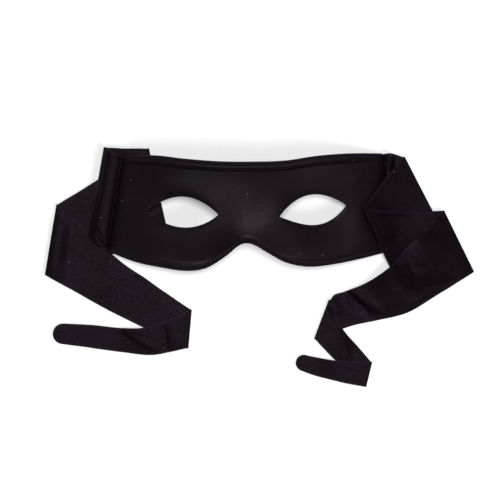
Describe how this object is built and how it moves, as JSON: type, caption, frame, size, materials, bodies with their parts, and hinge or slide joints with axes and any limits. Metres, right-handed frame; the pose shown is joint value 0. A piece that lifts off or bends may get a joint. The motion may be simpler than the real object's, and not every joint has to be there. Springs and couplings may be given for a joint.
{
  "type": "domino mask",
  "caption": "Soft moulded cloth half mask with almond eye holes and two long tapered cloth ties, lying folded beside it.",
  "frame": {"origin": "on the table, under the centre of the whole object as it lies", "axes": "+X across the face towards the right tie, +Y up to the brow, +Z out of the face and up from the table"},
  "size_m": [0.2862, 0.158, 0.036],
  "materials": {
    "moulded_cloth": "black fine knit pressed over a thin foam, matt with a soft sheen",
    "tie_cloth": "black fine knit strip, matt"
  },
  "bodies": {
    "root": {"mask_shell": "moulded_cloth", "left_tie": "tie_cloth", "right_tie": "tie_cloth"}
  },
  "joints": []
}
